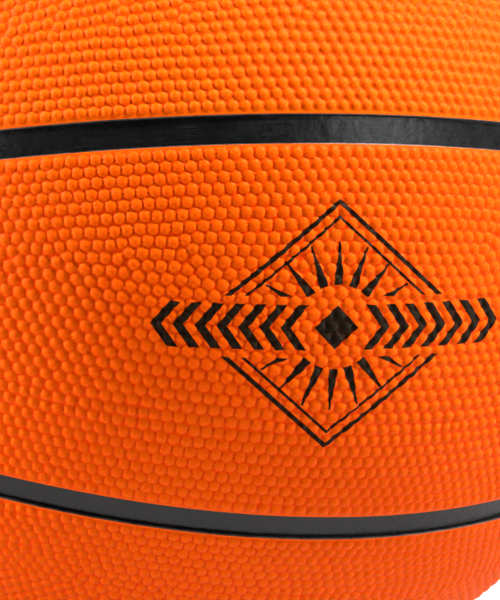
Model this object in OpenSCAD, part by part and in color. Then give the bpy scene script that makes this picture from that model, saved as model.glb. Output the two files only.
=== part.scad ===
// Size 5 basketball: a grained rubber cover of eight panels on a wound, inflated carcass.
// Millimetres. The origin is the centre of the ball. +Z runs out through the valve.
// -Y is the front: the middle of the two front strip panels lies on that side.

/* [Ball] */
// Diameter over the tops of the grain
ball_d = 223; // [219:0.5:227]
// Height of the grain over the smooth rubber between it
grain_h = 0.5; // [0.3:0.05:0.6]
// Smooth margin of a panel beside a channel
margin_w = 1; // [0.6:0.1:2]

/* [Seams] */
// Width of the channel between two panels
channel_w = 5.8; // [4:0.1:7]
// Depth of the channel floor below the tops of the grain
channel_drop = 1.4; // [1.2:0.05:1.5]
// Angle from the seam axis to the oval seam at the middle of a strip panel
oval_middle = 45.6; // [42:0.2:48]
// Angle from the seam axis to the oval seam where it crosses the second round seam
oval_crossing = 62.8; // [58:0.2:66]
// Angle from the seam axis to the valve
valve_tilt = 24; // [18:0.5:28]

/* [Layers] */
// Thickness of the cover over the tops of the grain
cover_t = 2; // [1.8:0.05:2.5]
// Thickness of the rubber carcass under the cover
carcass_t = 0.4; // [0.3:0.05:1.5]
// Thickness of the nylon thread wound round the bladder
winding_t = 0.35; // [0.25:0.05:1]
// Wall of the air bladder
bladder_t = 0.6; // [0.4:0.05:1.5]
// Cement film between two bonded pieces
film = 0.1; // [0.05:0.05:0.2]

/* [Valve] */
// Radius of the tube of the valve boot
boot_r = 5.4; // [5:0.1:7]
// Length of the valve boot below the carcass
boot_l = 20; // [17:0.5:30]
// Radius of the flange of the boot, bonded inside the bladder
flange_r = 16; // [12:0.5:25]
// Thickness of that flange
flange_t = 1; // [0.6:0.1:2]
// Floor of the boot that carries the plug
boot_floor_t = 1.5; // [1:0.1:3]
// Radius of the air passage in that floor
vent_r = 1.6; // [1:0.1:2.5]
// Radius of the shank of the self-sealing plug
shank_r = 3.2; // [2.8:0.1:3.6]
// Radius of the head of the plug, seen from outside
head_r = 4.4; // [4:0.1:4.6]
// Radius of the needle passage in the plug
needle_r = 1.05; // [0.9:0.05:1.2]
// Length of the straight needle passage
needle_l = 13; // [10:0.5:14]
// Depth of the funnel that leads the needle in
funnel_l = 0.8; // [0.5:0.1:1]
// Radius of the mouth of that funnel
funnel_r = 2; // [1.6:0.1:2.4]
// Radius of the smooth collar of the cover round the plug
collar_r = 7; // [6:0.5:9]

/* [Hidden] */
$fn = 180;

// Radii of the layers, from the outside in
ball_r = ball_d / 2;
smooth_r = ball_r - grain_h;
floor_r = ball_r - channel_drop;
cover_in_r = ball_r - cover_t;
carcass_r = cover_in_r - film;
carcass_in_r = carcass_r - carcass_t;
winding_r = carcass_in_r - film;
winding_in_r = winding_r - winding_t;
bladder_r = winding_in_r - film;
bladder_in_r = bladder_r - bladder_t;
flange_out_r = bladder_in_r - film;

// Channels: half the opening between two panels, and half the strip that fills it
opening = channel_w / 2;
filling = opening - film;
filling_w = filling * 2;

// Cuts reach past the ball on every side
reach = ball_d;
span = reach * 2;
// The cone of an oval seam starts and ends clear of the layers it cuts
cone_start_share = 0.2;
cone_end_share = 1.1;
cone_start = ball_r * cone_start_share;
cone_end = ball_r * cone_end_share;
whole_share = 1;

// Valve heights on +Z
boot_top = carcass_r - film;
boot_bottom = boot_top - boot_l;
boot_bore_r = shank_r + film;
tube_hole_r = boot_r + film;
plug_bottom = boot_bottom + boot_floor_t + film;
head_bottom = boot_top + film;
funnel_bottom = smooth_r - funnel_l;
needle_bottom = funnel_bottom - needle_l;
head_hole_r = head_r + film;

cover_color = "DarkOrange";
channel_color = "DimGray";
carcass_color = "Gray";
winding_color = "Ivory";
bladder_color = "Black";
boot_color = "SlateGray";
plug_color = "DarkSlateGray";

// Angle at the centre of the ball that spans a length on its surface
function arc(length) = asin(length / ball_r);

module shell(outer_r, inner_r) {
    difference() {
        sphere(r = outer_r);
        sphere(r = inner_r);
    }
}

// Seams are laid out on their own axis, which stands at valve_tilt to the valve
module on_seam_axis() {
    rotate([-valve_tilt, 0, 0]) children();
}

// Puts a piece that is drawn for the front and high side on the back, the low side or both
module side(back, low) {
    on_seam_axis() mirror([0, back, 0]) mirror([0, 0, low]) children();
}

// All that lies inside an oval seam, as an elliptic cone from the centre, wider by an angle
module oval_cone(wider) {
    scale([tan(oval_crossing + wider), tan(oval_middle + wider), whole_share])
        translate([0, 0, cone_start])
            cylinder(h = cone_end - cone_start, r1 = cone_start, r2 = cone_end);
}

// All in front of the second round seam by inset, and above the first one by lift
module front_high(inset, lift) {
    translate([-reach, -reach, lift]) cube([span, reach - inset, span]);
}

// One layer of a strip panel: between the first round seam and the oval seam
module strip_layer(outer_r, inset) {
    difference() {
        intersection() {
            shell(outer_r, cover_in_r);
            front_high(inset, inset);
        }
        oval_cone(arc(inset));
    }
}

// One layer of a cap panel: inside the oval seam, in front of the second round seam
module cap_layer(outer_r, inset) {
    intersection() {
        shell(outer_r, cover_in_r);
        oval_cone(-arc(inset));
        front_high(inset, 0);
    }
}

// A panel is smooth rubber from channel to channel, with the grain inside its margin
module strip(back, low) {
    color(cover_color)
        side(back, low)
            union() {
                strip_layer(smooth_r, opening);
                strip_layer(ball_r, opening + margin_w);
            }
}

module cap(back, low) {
    color(cover_color)
        side(back, low)
            union() {
                cap_layer(smooth_r, opening);
                cap_layer(ball_r, opening + margin_w);
            }
}

// Bore along the valve through every layer outside the centre
module valve_bore(bore_r) {
    cylinder(h = reach, r = bore_r);
}

// The cap panel that carries the valve: its head hole and the smooth collar round it
module cap_with_valve() {
    color(cover_color)
        difference() {
            cap(0, 0);
            valve_bore(head_hole_r);
            difference() {
                valve_bore(collar_r);
                sphere(r = smooth_r);
            }
        }
}

module channel_ring() {
    color(channel_color)
        on_seam_axis()
            intersection() {
                shell(floor_r, cover_in_r);
                cube([span, span, filling_w], center = true);
            }
}

// Half of the second round seam, from the first one over the seam axis and down to it again
module channel_arc(low) {
    color(channel_color)
        side(0, low)
            intersection() {
                shell(floor_r, cover_in_r);
                translate([-reach, -filling, opening]) cube([span, filling_w, reach]);
            }
}

// Half of an oval seam, on one side of the second round seam
module channel_oval(back, low) {
    color(channel_color)
        side(back, low)
            difference() {
                intersection() {
                    shell(floor_r, cover_in_r);
                    oval_cone(arc(filling));
                    front_high(opening, 0);
                }
                oval_cone(-arc(filling));
            }
}

// Half of the carcass, split under the second round seam
module carcass(back) {
    color(carcass_color)
        difference() {
            on_seam_axis()
                mirror([0, back, 0])
                    intersection() {
                        shell(carcass_r, carcass_in_r);
                        front_high(film, -reach);
                    }
            valve_bore(tube_hole_r);
        }
}

module winding() {
    color(winding_color)
        difference() {
            shell(winding_r, winding_in_r);
            valve_bore(tube_hole_r);
        }
}

module bladder() {
    color(bladder_color)
        difference() {
            shell(bladder_r, bladder_in_r);
            valve_bore(tube_hole_r);
        }
}

module valve_boot() {
    color(boot_color)
        difference() {
            union() {
                intersection() {
                    shell(flange_out_r, flange_out_r - flange_t);
                    valve_bore(flange_r);
                }
                translate([0, 0, boot_bottom]) cylinder(h = boot_l, r = boot_r);
            }
            translate([0, 0, boot_bottom + boot_floor_t]) cylinder(h = boot_l, r = boot_bore_r);
            valve_bore(vent_r);
        }
}

module valve_plug() {
    color(plug_color)
        difference() {
            union() {
                translate([0, 0, plug_bottom])
                    cylinder(h = smooth_r - plug_bottom, r = shank_r);
                translate([0, 0, head_bottom])
                    cylinder(h = smooth_r - head_bottom, r = head_r);
            }
            translate([0, 0, needle_bottom]) cylinder(h = reach, r = needle_r);
            translate([0, 0, funnel_bottom])
                cylinder(h = funnel_l, r1 = needle_r, r2 = funnel_r);
        }
}

strip(0, 1);  // strip_front_low
strip(0, 0);  // strip_front_high
strip(1, 1);  // strip_back_low
strip(1, 0);  // strip_back_high
cap(0, 1);  // cap_front_low
cap_with_valve();  // cap_front_high
cap(1, 1);  // cap_back_low
cap(1, 0);  // cap_back_high
channel_ring();
channel_arc(1);  // channel_arc_low
channel_arc(0);  // channel_arc_high
channel_oval(0, 1);  // channel_oval_front_low
channel_oval(0, 0);  // channel_oval_front_high
channel_oval(1, 1);  // channel_oval_back_low
channel_oval(1, 0);  // channel_oval_back_high
carcass(0);  // carcass_front
carcass(1);  // carcass_back
winding();
bladder();
valve_boot();
valve_plug();
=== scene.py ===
"""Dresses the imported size 5 basketball.

The eight cover panels become closed shells with moulded grain, the channels get black rubber strips, and
the valve and the layers inside get their finishes. Lengths are millimetres and angles are degrees until a
mesh, a lamp or the camera is made. A place on the ball is a direction from its middle, and the distance
between two places is the arc at the ball's radius.
"""

import logging
import math
from collections.abc import Callable, Sequence
from dataclasses import dataclass, field
from enum import Enum

import bmesh
import bpy
import numpy as np
from mathutils import Matrix, Vector
from mathutils.geometry import delaunay_2d_cdt

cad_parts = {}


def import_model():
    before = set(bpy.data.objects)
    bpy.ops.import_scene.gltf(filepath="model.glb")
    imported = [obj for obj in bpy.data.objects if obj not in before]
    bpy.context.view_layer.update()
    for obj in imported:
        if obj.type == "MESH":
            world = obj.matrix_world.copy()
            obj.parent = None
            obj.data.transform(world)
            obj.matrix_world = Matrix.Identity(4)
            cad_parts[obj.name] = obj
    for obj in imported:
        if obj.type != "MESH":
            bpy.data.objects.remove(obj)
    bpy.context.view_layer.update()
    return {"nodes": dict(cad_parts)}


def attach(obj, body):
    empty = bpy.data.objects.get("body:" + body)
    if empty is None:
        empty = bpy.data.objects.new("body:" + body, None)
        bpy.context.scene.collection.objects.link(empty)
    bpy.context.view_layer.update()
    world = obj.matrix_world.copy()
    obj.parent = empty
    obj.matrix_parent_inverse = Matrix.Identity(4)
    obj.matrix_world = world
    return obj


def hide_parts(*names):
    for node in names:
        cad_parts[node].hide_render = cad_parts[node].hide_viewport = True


MM = 0.001
LOG = logging.getLogger("basketball")
# Radius over the tops of the grain
BALL_R = 111.5
# Thickness of the cover, from the tops of the grain
COVER_T = 2.0
WHITE = (1.0, 1.0, 1.0, 1.0)
# Keeps what divides from being zero
TINY = 1e-9
# A direction counts as lying along an axis when its part along it is larger than this
ALONG = 0.8
Array = np.ndarray
Field = Callable[[Array], Array]
Colour = tuple[float, float, float]
Steps = tuple[tuple[float, float], ...]
Sockets = dict[str, "Wire | float | Sequence[float]"]


def unit(vectors: Array) -> Array:
    """Vectors scaled to length one along the last axis."""
    return vectors / np.linalg.norm(vectors, axis=-1, keepdims=True)


def smoothstep(low: float, high: float, values: Array) -> Array:
    """3t^2 - 2t^3 of the share t of the way from low to high."""
    share = np.clip((values - low) / (high - low), 0.0, 1.0)
    return share * share * (3.0 - 2.0 * share)


def fan(first: Array, second: Array, count: int) -> Array:
    """Unit vectors at even angles round from the first of two tangents toward the second."""
    angle = np.arange(count) * math.tau / count
    return np.cos(angle)[:, None] * first + np.sin(angle)[:, None] * second


class Side(Enum):
    """Which way a piece that is drawn for the front and high side is mirrored."""

    FRONT_HIGH = (1.0, 1.0)
    FRONT_LOW = (1.0, -1.0)
    BACK_HIGH = (-1.0, 1.0)
    BACK_LOW = (-1.0, -1.0)

    @property
    def label(self) -> str:
        """The side's name as the nodes spell it."""
        return self.name.lower()


@dataclass(frozen=True)
class Seams:
    """Where the channels run, on the unit sphere about the seam axis.

    The first seam is the great circle about the axis, the second one stands across it, and an oval seam
    runs round each end of the axis.
    """

    valve_tilt: float = 24.0
    oval_middle: float = 45.6
    oval_crossing: float = 62.8
    # Half the width of a channel between two panels
    opening: float = 2.9

    @property
    def cone(self) -> tuple[float, float]:
        """Half widths, at height one, of the cone that cuts the oval seam."""
        return math.tan(math.radians(self.oval_crossing)), math.tan(math.radians(self.oval_middle))

    def to_ball(self, points: Array, side: Side = Side.FRONT_HIGH) -> Array:
        """Mirrors points to a side and turns the seam axis back by the valve's tilt.

        Args:
            points: places about the seam axis, drawn for the front and high side.
            side: the side that they are for.

        Returns:
            The places in the ball's frame, where +Z runs out through the valve.
        """
        front, high = side.value
        tilt = math.radians(-self.valve_tilt)
        cosine, sine = math.cos(tilt), math.sin(tilt)
        turn = np.array([[1.0, 0.0, 0.0], [0.0, cosine, -sine], [0.0, sine, cosine]])
        return (points * np.array([1.0, front, high])) @ turn.T

    def place(self, latitude: float, longitude: float) -> Array:
        """A direction by its angle above the first seam and its angle right of the front middle."""
        lat, lon = math.radians(latitude), math.radians(longitude)
        return np.array([math.cos(lat) * math.sin(lon), -math.cos(lat) * math.cos(lon), math.sin(lat)])

    def above_ring(self, points: Array) -> Array:
        """Distance above the first seam: the arc of the height."""
        return BALL_R * np.arcsin(np.clip(points[..., 2], -1.0, 1.0))

    def before_cross(self, points: Array) -> Array:
        """Distance in front of the second seam: the arc of the depth."""
        return BALL_R * np.arcsin(np.clip(-points[..., 1], -1.0, 1.0))

    def inside_oval(self, points: Array) -> Array:
        """Distance inside the oval seam.

        The seam lies on the elliptic cone e = z, with e the length of (x / a, y / b). The distance is the
        angle left to 45 degrees of atan2(e, z), divided by how fast that angle changes along the surface.

        Args:
            points: the places.

        Returns:
            The distances, less than zero outside the seam.
        """
        wide, narrow = self.cone
        x, y, z = points[..., 0] / wide, points[..., 1] / narrow, points[..., 2]
        e = np.maximum(np.hypot(x, y), TINY)
        rate = np.stack([z * x / (wide * e), z * y / (narrow * e), -e], axis=-1) / (e * e + z * z)[..., None]
        return BALL_R * (math.pi / 4.0 - np.arctan2(e, z)) / np.linalg.norm(rate, axis=-1)

    def oval_line(self, longitudes: Array) -> Array:
        """The oval seam, a level line of its cone.

        Args:
            longitudes: angles right of the front middle, in radians.

        Returns:
            The seam's places at these angles.
        """
        wide, narrow = self.cone
        reach = 1.0 / np.hypot(np.sin(longitudes) / wide, np.cos(longitudes) / narrow)
        return unit(np.stack([reach * np.sin(longitudes), -reach * np.cos(longitudes),
                              np.ones_like(longitudes)], axis=-1))


def rounded_inset(distances: Sequence[Array], corner_r: float) -> Array:
    """Distance inside several edges at once, with a fillet where two of them meet.

    Args:
        distances: the distance inside each edge.
        corner_r: the fillet's radius.

    Returns:
        r - |max(r - d, 0)| over the edges nearer than r, and the least distance elsewhere.
    """
    stack = np.stack(distances)
    short = np.maximum(corner_r - stack, 0.0)
    return np.where((short > 0).any(axis=0), corner_r - np.linalg.norm(short, axis=0), stack.min(axis=0))


def uphill(distance: Field, points: Array, step: float = 1e-4) -> Array:
    """The way along which a distance grows fastest, by central differences on two tangents.

    Args:
        distance: the distance.
        points: the places where it is asked.
        step: half the difference's length on the unit sphere.

    Returns:
        Unit tangents.
    """
    helper = np.where(np.abs(points[:, 2:3]) < ALONG, [[0.0, 0.0, 1.0]], [[1.0, 0.0, 0.0]])
    first = unit(np.cross(points, helper))
    second = np.cross(points, first)
    slopes = [distance(unit(points + step * t)) - distance(unit(points - step * t)) for t in (first, second)]
    tangent = slopes[0][:, None] * first + slopes[1][:, None] * second
    return tangent / np.maximum(np.linalg.norm(tangent, axis=1, keepdims=True), TINY)


def move(points: Array, tangents: Array, lengths: Array | float) -> Array:
    """Points moved along their tangents by lengths on the surface, each on its great circle."""
    angle = np.asarray(lengths)[..., None] / BALL_R
    return np.cos(angle) * points + np.sin(angle) * tangents


def settle(points: Array, distance: Field, level: float, passes: int = 6) -> Array:
    """Moves points uphill or down until they lie on a level of a distance, by Newton's steps.

    Args:
        points: the places to start from.
        distance: the distance.
        level: the wanted value of it.
        passes: how many steps are made.

    Returns:
        The places on the level.
    """
    for _ in range(passes):
        points = move(points, uphill(distance, points), level - distance(points))
    return points


def spaced(points: Array, spacing: float, fewest: int = 8, shortest: float = 1e-6) -> Array:
    """A closed chain of places laid out again at even steps along its length.

    Args:
        points: the chain, in order.
        spacing: the wanted step.
        fewest: the least number of steps.
        shortest: shorter steps of the given chain are left out.

    Returns:
        A chain of a whole number of equal steps.
    """
    loop = np.vstack([points, points[:1]])
    steps = np.linalg.norm(np.diff(loop, axis=0), axis=1) * BALL_R
    keep = np.concatenate([[True], steps > shortest])
    along = np.concatenate([[0.0], np.cumsum(steps)])[keep]
    loop = loop[keep]
    count = max(int(round(along[-1] / spacing)), fewest)
    wanted = np.arange(count) * along[-1] / count
    return unit(np.stack([np.interp(wanted, along, loop[:, k]) for k in range(3)], axis=1))


@dataclass(frozen=True)
class Chart:
    """A stereographic map about one direction: it keeps circles, so its Delaunay cells hold on the ball."""

    middle: Array
    # How far a lattice is turned on the map
    turn: float = 90.0

    @property
    def axes(self) -> Array:
        """The map's own directions.

        Returns:
            Rows: two tangents at the middle, and the middle itself.
        """
        helper = np.array([1.0, 0.0, 0.0]) if abs(self.middle[0]) < ALONG else np.array([0.0, 0.0, 1.0])
        first = unit(np.cross(helper, self.middle))
        return np.stack([first, np.cross(self.middle, first), self.middle])

    def flat(self, points: Array) -> Array:
        """(x, y) / (1 + z) about the middle."""
        local = points @ self.axes.T
        return local[:, :2] / (1.0 + local[:, 2:3])

    def lattice(self, pitch: float, reach: float) -> Array:
        """A hexagonal lattice of even density on the ball.

        The lattice is flat, and goes onto the ball by the equal-area map: radius 2 sin(c / 2) lies at the
        angle c from the middle.

        Args:
            pitch: distance of neighbours.
            reach: the largest angle from the middle.

        Returns:
            The lattice's places within reach.
        """
        step = pitch / BALL_R
        row = step * math.sqrt(3.0) / 2.0
        limit = 2.0 * math.sin(math.radians(reach) / 2.0)
        across = np.arange(-int(limit / step) - 1, int(limit / step) + 2)
        up = np.arange(-int(limit / row) - 1, int(limit / row) + 2)
        column, line = np.meshgrid(across, up)
        spin = math.radians(self.turn)
        x0, y0 = ((column + 0.5 * (line % 2)) * step).ravel(), (line * row).ravel()
        x, y = x0 * math.cos(spin) - y0 * math.sin(spin), x0 * math.sin(spin) + y0 * math.cos(spin)
        radius = np.hypot(x, y)
        x, y, radius = x[radius < limit], y[radius < limit], np.maximum(radius[radius < limit], TINY)
        angle = 2.0 * np.arcsin(radius / 2.0)
        local = np.stack([np.sin(angle) * x / radius, np.sin(angle) * y / radius, np.cos(angle)], axis=1)
        return local @ self.axes


def triangulate(flat: Array, chains: Sequence[Array]) -> Array:
    """Delaunay triangles of flat points, within closed chains where there are any.

    Args:
        flat: the points.
        chains: for each closed chain, the numbers of its points in order: the outline, then empty holes.

    Returns:
        Rows of three point numbers.
    """
    whole_hull, inside_edges, nearness = 0, 1, 1e-9
    edges = [edge for chain in chains for edge in np.stack([chain, np.roll(chain, -1)], axis=1).tolist()]
    form = inside_edges if chains else whole_hull
    cells = delaunay_2d_cdt([Vector(p) for p in flat.tolist()], edges, [], form, nearness)
    faces, sources = cells[2], np.array([group[0] for group in cells[3]])
    corners = sources[np.array(faces)]
    for hole in chains[1:]:
        corners = corners[~np.isin(corners, hole).all(axis=1)]
    return corners


def make_piece(name: str, points: Array, faces: Sequence[Sequence[int]], slots: Array | None = None,
               values: dict[str, Array] | None = None) -> bpy.types.Object:
    """Makes a smooth mesh object at the origin, with all faces turned outwards.

    Args:
        name: the piece's name.
        points: its vertices in millimetres.
        faces: its faces as lists of vertex numbers.
        slots: the material slot of each face, 0 where none is given.
        values: named numbers kept on the vertices for the finish.

    Returns:
        The linked object.
    """
    mesh = bpy.data.meshes.new(name)
    mesh.from_pydata((points * MM).tolist(), [], faces)
    if slots is not None:
        mesh.polygons.foreach_set("material_index", slots.astype(np.int32))
    for key, numbers in (values or {}).items():
        mesh.attributes.new(key, "FLOAT", "POINT").data.foreach_set("value", numbers.astype(np.float32))
    shell = bmesh.new()
    shell.from_mesh(mesh)
    bmesh.ops.delete(shell, geom=[v for v in shell.verts if not v.link_faces], context="VERTS")
    bmesh.ops.recalc_face_normals(shell, faces=shell.faces)
    shell.to_mesh(mesh)
    shell.free()
    mesh.polygons.foreach_set("use_smooth", np.full(len(mesh.polygons), True))
    mesh.update()
    piece = bpy.data.objects.new(name, mesh)
    bpy.context.collection.objects.link(piece)
    LOG.info("%s: %d faces", name, len(mesh.polygons))
    return piece


def tube_faces(rows: int, columns: int, is_loop: bool) -> Array:
    """Faces of a tube.

    Args:
        rows: how many rings of vertices it has along its length.
        columns: how many vertices each ring has.
        is_loop: whether the last ring joins the first one.

    Returns:
        Rows of four vertex numbers.
    """
    row = np.arange(rows if is_loop else rows - 1)
    r, c = (a.ravel() for a in np.meshgrid(row, np.arange(columns), indexing="ij"))
    r2, c2 = (r + 1) % rows, (c + 1) % columns
    return np.stack([r * columns + c, r * columns + c2, r2 * columns + c2, r2 * columns + c], axis=1)


@dataclass(frozen=True)
class Grain:
    """The moulded grain: round domes in rows along the channels and in straight rows farther in."""

    pitch: float = 2.7
    height: float = 0.65
    # Radius of a dome, as a share of the pitch
    dome_share: float = 0.515
    # Beside a channel the pitch is this much less, up to this distance inside
    edge_pitch_share: float = 0.93
    edge_reach: float = 14.0
    # Distance between rows along the channels, how far in they go, and the gap to the straight rows, in rows
    row_gap: float = 2.34
    rows_reach: float = 21.0
    lattice_gap: float = 0.8
    # A dome's profile, ring by ring: vertices, share of its radius, share of its height
    rings: tuple[tuple[int, float, float], ...] = ((6, 0.45, 0.87), (8, 0.79, 0.52), (11, 1.0, 0.0))
    # Two domes closer than this share of the pitch become one, in this many passes
    too_near: float = 0.62
    thin_passes: int = 3
    # How the truss comes to rest: passes, passes between new lists of neighbours, stretch and stride
    passes: int = 24
    relist_every: int = 4
    stretch: float = 1.14
    stride: float = 0.2
    # How far outside the first row a dome may start, and a pair may lie, in pitches
    start_slack: float = 0.2
    pair_slack: float = 0.3
    # A dome fills this share of the way to the line halfway to each neighbour
    filling: float = 0.98
    least_cosine: float = 0.2
    # How much longer than its least radius a dome may be
    longest: float = 1.13
    size_spread: float = 0.03
    height_spread: float = 0.08
    place_spread: float = 0.022

    @property
    def dome_r(self) -> float:
        """Radius of a usual dome."""
        return self.pitch * self.dome_share

    @staticmethod
    def neighbours(chart: Chart, points: Array) -> Array:
        """Finds neighbours as the edges of Delaunay triangles.

        Args:
            chart: the map that they are found on.
            points: the places.

        Returns:
            Rows of two point numbers, each pair once.
        """
        corners = triangulate(chart.flat(points), [])
        pairs = np.vstack([corners[:, [0, 1]], corners[:, [1, 2]], corners[:, [2, 0]]])
        return np.unique(np.sort(pairs, axis=1), axis=0)

    def size(self, inset: Array) -> Array:
        """Wanted pitch: a little closer beside a channel."""
        share = smoothstep(0.0, self.edge_reach, inset)
        return self.pitch * (self.edge_pitch_share + (1.0 - self.edge_pitch_share) * share)

    def lay_out(self, chart: Chart, points: Array, room: Field, inset: Field,
                rng: np.random.Generator) -> Array:
        """Evens out the domes of a panel as a truss at rest: neighbours push apart until they are even.

        Args:
            chart: the map that finds neighbours.
            points: the domes' middles before that.
            room: distance inside the line where the first row of domes stands.
            inset: distance inside the panel's edge.
            rng: the source of the small differences.

        Returns:
            The domes' middles.
        """
        points = self.thinned(chart, points[room(points) > -self.start_slack * self.pitch])
        pairs = np.empty((0, 2), int)
        for count in range(self.passes):
            if count % self.relist_every == 0:
                pairs = self.neighbours(chart, points)
                middle = unit(points[pairs[:, 0]] + points[pairs[:, 1]])
                pairs = pairs[room(middle) > -self.pair_slack * self.pitch]
            points = self.keep_in(self.push(points, pairs, inset), room)
        points = unit(points + rng.normal(0.0, self.place_spread * self.pitch / BALL_R, points.shape))
        return self.keep_in(points, room)

    def thinned(self, chart: Chart, points: Array) -> Array:
        """Leaves out the later one of each pair that lies too near.

        Args:
            chart: the map that finds neighbours.
            points: the places.

        Returns:
            The places that stay.
        """
        for _ in range(self.thin_passes):
            pairs = self.neighbours(chart, points)
            apart = np.linalg.norm(points[pairs[:, 0]] - points[pairs[:, 1]], axis=1) * BALL_R
            points = np.delete(points, np.unique(pairs[apart < self.too_near * self.pitch, 1]), axis=0)
        return points

    @staticmethod
    def keep_in(points: Array, room: Field) -> Array:
        """Moves points that lie outside the first row's line back onto it.

        Args:
            points: the places, changed where they lie outside.
            room: distance inside the line.

        Returns:
            The same places.
        """
        short = room(points)
        out = short < 0.0
        if out.any():
            points[out] = move(points[out], uphill(room, points[out]), -short[out])
        return points

    def push(self, points: Array, pairs: Array, inset: Field) -> Array:
        """One pass of the truss: each pair closer than its wanted length pushes its two ends apart.

        Args:
            points: the places.
            pairs: rows of two numbers of neighbours.
            inset: distance inside the panel's edge, on which the wanted length depends.

        Returns:
            The places after the pass.
        """
        span = (points[pairs[:, 0]] - points[pairs[:, 1]]) * BALL_R
        length = np.linalg.norm(span, axis=1)
        want = self.size(inset(unit(points[pairs[:, 0]] + points[pairs[:, 1]])))
        want = want * self.stretch * math.sqrt((length ** 2).sum() / (want ** 2).sum())
        force = span * (np.maximum(want - length, 0.0) / np.maximum(length, TINY))[:, None]
        total = np.stack([np.bincount(pairs[:, 0], force[:, k], len(points))
                          - np.bincount(pairs[:, 1], force[:, k], len(points)) for k in range(3)], axis=1)
        return unit(points + self.stride * total / BALL_R)

    def domes(self, chart: Chart, middles: Array, rng: np.random.Generator) -> tuple[Array, Array, Array]:
        """Rings of vertices round each dome's top.

        A dome falls from its height at the middle, over the heights of its rings, to the smooth rubber.
        Toward a neighbour at distance d and angle a off that way, its radius is at most
        filling * d / (2 cos a), so that domes touch and never cross.

        Args:
            chart: the map that finds neighbours.
            middles: the domes' middles.
            rng: the source of their small differences.

        Returns:
            Places, heights over the smooth rubber, and the share of the way up, vertex by vertex.
        """
        count = len(middles)
        first = unit(np.cross(middles, unit(rng.normal(0.0, 1.0, (count, 3)))))
        second = np.cross(middles, first)
        pairs = self.neighbours(chart, middles)
        owner, other = np.vstack([pairs, pairs[:, ::-1]]).T
        toward = (middles[other] - middles[owner]) * BALL_R
        east, north = (toward * first[owner]).sum(axis=1), (toward * second[owner]).sum(axis=1)
        halfway, bearing = np.hypot(east, north) / 2.0, np.arctan2(north, east)
        radius = self.dome_r * (1.0 - np.abs(rng.normal(0.0, self.size_spread, count)))
        height = self.height * (1.0 - np.abs(rng.normal(0.0, self.height_spread, count)))
        places, heights, shares = [middles], [height], [np.ones(count)]
        for number, share, rise in self.rings:
            angle = np.arange(number) * math.tau / number
            cosine = np.maximum(np.cos(angle - bearing[:, None]), self.least_cosine)
            wide = np.repeat(radius[:, None], number, axis=1)
            np.minimum.at(wide, owner, self.filling * halfway[:, None] / cosine)
            wide = np.minimum(wide, wide.min(axis=1, keepdims=True) * self.longest)
            ring = unit(middles[:, None] + fan(first[:, None], second[:, None], number)
                        * (wide * share / BALL_R)[..., None])
            places.append(ring.reshape(-1, 3))
            heights.append(np.repeat(height * rise, number))
            shares.append(np.full(count * number, rise))
        return np.vstack(places), np.concatenate(heights), np.concatenate(shares)


@dataclass(frozen=True)
class Edge:
    """One closed edge of a panel: where its skin ends, and how it rolls down to the inner face.

    Each step over the lip and down the wall is a distance inside the edge and a depth below the smooth
    rubber.
    """

    chain: Array
    distance: Field
    start: float
    lip: Steps
    wall: Steps
    is_black: bool

    def rows(self, smooth_r: float) -> list[tuple[Array, float]]:
        """Rows of vertices over the lip and down the wall, and one more on the inner face.

        Args:
            smooth_r: radius of the smooth rubber.

        Returns:
            The places and the radius of each row.
        """
        tangent = uphill(self.distance, self.chain)
        rows = [(move(self.chain, tangent, inside - self.start), smooth_r - drop)
                for inside, drop in self.lip + self.wall]
        return rows + [(rows[-1][0], BALL_R - COVER_T)]


@dataclass
class Shell:
    """The points, faces and material slots of a closed shell while it is put together."""

    points: list[Array] = field(default_factory=list)
    faces: list[Array] = field(default_factory=list)
    slots: list[Array] = field(default_factory=list)

    def add(self, points: Array) -> Array:
        """Takes more points and gives back their numbers."""
        count = sum(map(len, self.points))
        self.points.append(points)
        return np.arange(count, count + len(points))

    def cover(self, faces: Array, slot: int = 0) -> None:
        """Takes more faces, all of one material slot."""
        self.faces.append(faces)
        self.slots.append(np.full(len(faces), slot))

    def band(self, above: Array, below: Array, slot: int) -> None:
        """Joins two closed rows of points, number by number, with two triangles a step."""
        along_above, along_below = np.roll(above, -1), np.roll(below, -1)
        self.cover(np.stack([above, along_above, along_below], axis=1), slot)
        self.cover(np.stack([above, along_below, below], axis=1), slot)


def numbered(first: int, lines: Sequence[Array]) -> list[Array]:
    """The numbers of the points of several lines that follow each other from a first number."""
    starts = np.cumsum([first] + [len(line) for line in lines])
    return [np.arange(start, start + len(line)) for start, line in zip(starts, lines)]


class Cut(Enum):
    """The two outlines of panels: name, latitude of the middle, and angle from there to a far corner."""

    STRIP = ("strip", 23.0, 93.0)
    CAP = ("cap", 65.0, 75.0)

    def __init__(self, label: str, latitude: float, reach: float) -> None:
        """Keeps the three under their names."""
        self.label, self.latitude, self.reach = label, latitude, reach


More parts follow.
